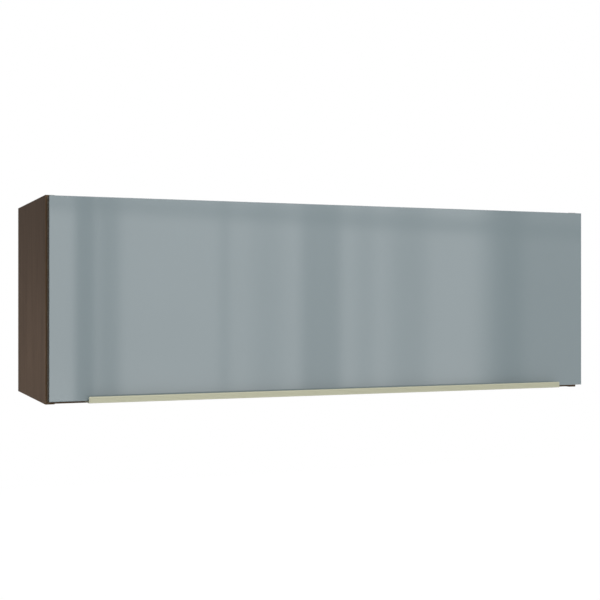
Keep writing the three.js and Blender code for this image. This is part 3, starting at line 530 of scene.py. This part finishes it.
def makeBumper():
    # Clear polyurethane bumper: soft, cloudy, lightly tacky.
    finish = {
        "clear": "#e6e6e0",
        "cloudy": "#cfcfc8",
        "cloud": 2,  # mm across a cloud
        "seeThrough": 0.35,
        "roughness": 0.35,
        "ior": 1.49,
    }
    material, tree = newMaterial("clearBumper")
    spot = addNode(tree, "ShaderNodeTexCoord")
    haze = addNode(tree, "ShaderNodeTexNoise", None, {
        "Vector": spot.outputs["Object"], "Scale": 1 / (finish["cloud"] * mm), "Detail": 2.0})
    tone = addNode(tree, "ShaderNodeMix", {"data_type": "RGBA", "blend_type": "MIX"}, {
        0: haze.outputs[0], 6: linear(finish["cloudy"]), 7: linear(finish["clear"])})
    shader = addNode(tree, "ShaderNodeBsdfPrincipled", None, {
        "Base Color": tone.outputs[2], "Roughness": finish["roughness"],
        "IOR": finish["ior"], "Transmission Weight": finish["seeThrough"]})
    addNode(tree, "ShaderNodeOutputMaterial", None, {"Surface": shader.outputs[0]})
    return material


uprightMelamine = makeMelamine("woodgrainMelamineUpright", "Z")
levelMelamine = makeMelamine("woodgrainMelamineLevel", "X")
lacquer = makeLacquer()
anodised = makeAnodised()
# name, bright and dull colour, roughness, mm between the lines of its grain
nickel = makePlated("nickelPlatedSteel", "#d6d3cc", "#bdb9b1", 0.27, 0.6)
zinc = makePlated("zincPlatedSteel", "#c6cbd0", "#9ea5ab", 0.38, 0.9)
# name, colour and its darker tone, roughness
greyAbs = makeMoulded("mouldedGreyAbs", "#9a9d9e", "#8e9192", 0.45)
whiteAbs = makeMoulded("mouldedWhiteAbs", "#e6e5df", "#dcdbd4", 0.42)
hardboard = makeHardboard()
beech = makeBeech()
bumper = makeBumper()

finishes = {
    "left_side_board": uprightMelamine,
    "right_side_board": uprightMelamine,
    "top_board": levelMelamine,
    "bottom_board": levelMelamine,
    "back_board": hardboard,
    "flap_panel": lacquer,
    "grip_profile": anodised,
}
for start, material in (
    ("cam_", zinc), ("dowel_", beech), ("hanger_housing_", whiteAbs), ("hanger_hook_", zinc),
    ("bumper_", bumper), ("hinge_", nickel), ("stay_plate_", zinc), ("stay_case_", greyAbs),
    ("stay_lever_", nickel), ("stay_link_", nickel), ("stay_bracket_", nickel),
):
    for name in nodes:
        if name.startswith(start):
            finishes[name] = material
for name, piece in nodes.items():
    for number in range(len(piece.material_slots)):
        piece.material_slots[number].link = "OBJECT"
        piece.material_slots[number].material = finishes[name]
print("finishes given to", len(finishes), "nodes")


# small fasteners

def startEdit(piece):
    bpy.ops.object.select_all(action="DESELECT")
    piece.select_set(True)
    bpy.context.view_layer.objects.active = piece


headShape = {
    "sides": 28,
    "roundSteps": 3,
    "crossLength": 1.1,  # of a wing of the recess, as a share of the head's radius
    "crossWidth": 0.24,
    "crossDepth": 1.1,  # as a share of its height, half of it above the head
    "smoothUnder": 35,  # degrees
}


def crossHeadScrew(head):
    # A pan head with a cross recess, its axis on +Z and its seat at the origin.
    bpy.ops.object.select_all(action="DESELECT")
    bpy.ops.mesh.primitive_cylinder_add(
        vertices=headShape["sides"], radius=head["radius"], depth=head["height"],
        location=(0, 0, head["height"] / 2))
    screw = bpy.context.active_object
    bpy.ops.object.mode_set(mode="EDIT")
    bpy.ops.mesh.select_all(action="DESELECT")
    bpy.ops.object.mode_set(mode="OBJECT")
    for face in screw.data.polygons:
        face.select = face.normal.z > facesIt
    bpy.ops.object.mode_set(mode="EDIT")
    bpy.ops.mesh.select_mode(type="FACE")
    bpy.ops.mesh.bevel(
        offset=head["round"], segments=headShape["roundSteps"], affect="EDGES")
    bpy.ops.object.mode_set(mode="OBJECT")
    bpy.ops.object.transform_apply(location=True, rotation=True, scale=True)
    cutters = []
    for turn in (0, 90):
        bpy.ops.object.select_all(action="DESELECT")
        bpy.ops.mesh.primitive_cube_add(size=1, location=(0, 0, head["height"]))
        wing = bpy.context.active_object
        bpy.ops.transform.resize(value=(
            head["radius"] * headShape["crossLength"], head["radius"] * headShape["crossWidth"],
            head["height"] * headShape["crossDepth"]))
        bpy.ops.transform.rotate(value=math.radians(turn), orient_axis="Z",
                                 center_override=(0, 0, head["height"]))
        bpy.ops.object.transform_apply(location=True, rotation=True, scale=True)
        cutters.append(wing)
    for wing in cutters:
        startEdit(screw)
        cut = screw.modifiers.new("recess", "BOOLEAN")
        cut.operation = "DIFFERENCE"
        cut.solver = "EXACT"
        cut.object = wing
        bpy.ops.object.modifier_apply(modifier="recess")
    for wing in cutters:
        bpy.data.objects.remove(wing)
    bpy.ops.object.shade_smooth_by_angle(angle=math.radians(headShape["smoothUnder"]))
    return screw


spinFirst = 23  # degrees, how the first screw of a row happens to be turned
spinOnward = 37  # and how much further each next one is


def setScrews(name, model, body, places, material):
    # copies of one screw, each turned so that its axis points where the driver comes from
    copies = []
    for number, (place, outward) in enumerate(places):
        copy = model.copy()
        copy.data = model.data.copy()
        turn = Vector((0, 0, 1)).rotation_difference(Vector(outward)).to_matrix().to_4x4()
        spin = Matrix.Rotation(math.radians(spinFirst + spinOnward * number), 4, "Z")
        copy.data.transform(Matrix.Translation(Vector(place) * mm) @ turn @ spin)
        bpy.context.collection.objects.link(copy)
        copies.append(copy)
    bpy.ops.object.select_all(action="DESELECT")
    for copy in copies:
        copy.select_set(True)
    bpy.context.view_layer.objects.active = copies[0]
    bpy.ops.object.join()
    joined = bpy.context.active_object
    joined.name = name
    joined.data.materials.clear()
    joined.data.materials.append(material)
    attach(joined, body)


seats = {
    # where the screws sit on the fittings, in mm; X is given for the right side where both
    # sides have them
    "hingeX": (-420, 0, 420),
    "plateAside": 16,  # on each side of the hinge
    "plateY": -102.5,
    "plateUnder": 344.1,  # the underside of the mounting plate's wings
    "armY": (-91.5, -105.5),
    "armUnder": 338.4,  # the underside of the arm's web
    "cupAside": 24,
    "cupZ": 336,
    "cupRear": -140.35,  # the rear of the cup's flange
    "footRear": -140.05,  # the rear of the bracket's foot and of the grip's leg
    "bracketX": 499.2,
    "bracketZ": (245.5, 269.5),
    "stayX": 531.95,  # the inner face of the stay's side plate
    "stayY": (-67.1, 22.9),
    "stayZ": (250, 318),
    "gripX": (-440, -220, 0, 220, 440),
    "gripZ": 22,
    "hangerX": 527,
    "hangerFace": 95.2,  # just behind the front of the hanger's housing
    "hangerZ": (301, 332.7),
}
sides = (-1, 1)  # left and right
down, forward, backward = (0, 0, -1), (0, -1, 0), (0, 1, 0)
screwPlaces = {
    # place and the way that the head looks
    "plate": [((x + side * seats["plateAside"], seats["plateY"], seats["plateUnder"]), down)
              for x in seats["hingeX"] for side in sides],
    "arm": [((x, y, seats["armUnder"]), down) for x in seats["hingeX"] for y in seats["armY"]],
    "cup": [((x + side * seats["cupAside"], seats["cupRear"], seats["cupZ"]), backward)
            for x in seats["hingeX"] for side in sides],
    "bracket": [((side * seats["bracketX"], seats["footRear"], z), backward)
                for side in sides for z in seats["bracketZ"]],
    "stay": [((side * seats["stayX"], y, z), (-side, 0, 0))
             for side in sides for y in seats["stayY"] for z in seats["stayZ"]],
    "grip": [((x, seats["footRear"], seats["gripZ"]), backward) for x in seats["gripX"]],
    "hanger": [((side * seats["hangerX"], seats["hangerFace"], z), forward)
               for side in sides for z in seats["hangerZ"]],
}

smallHead = {"radius": 3.3 * mm, "height": 0.8 * mm, "round": 0.4 * mm}
wideHead = {"radius": 3.9 * mm, "height": 1.3 * mm, "round": 0.7 * mm}
hiddenHead = {"radius": 2.3 * mm, "height": 1.6 * mm, "round": 0.4 * mm}
smallScrew = crossHeadScrew(smallHead)
wideScrew = crossHeadScrew(wideHead)
hiddenScrew = crossHeadScrew(hiddenHead)
setScrews("hinge_plate_screws", wideScrew, "carcass", screwPlaces["plate"], nickel)
setScrews("hinge_arm_screws", smallScrew, "carcass", screwPlaces["arm"], zinc)
setScrews("hinge_cup_screws", smallScrew, "flap", screwPlaces["cup"], nickel)
setScrews("stay_bracket_screws", smallScrew, "flap", screwPlaces["bracket"], nickel)
setScrews("stay_plate_screws", wideScrew, "carcass", screwPlaces["stay"], zinc)
setScrews("grip_leg_screws", smallScrew, "flap", screwPlaces["grip"], nickel)
setScrews("hanger_screws", hiddenScrew, "carcass", screwPlaces["hanger"], zinc)
for model in (smallScrew, wideScrew, hiddenScrew):
    bpy.data.objects.remove(model)
print("screws set")
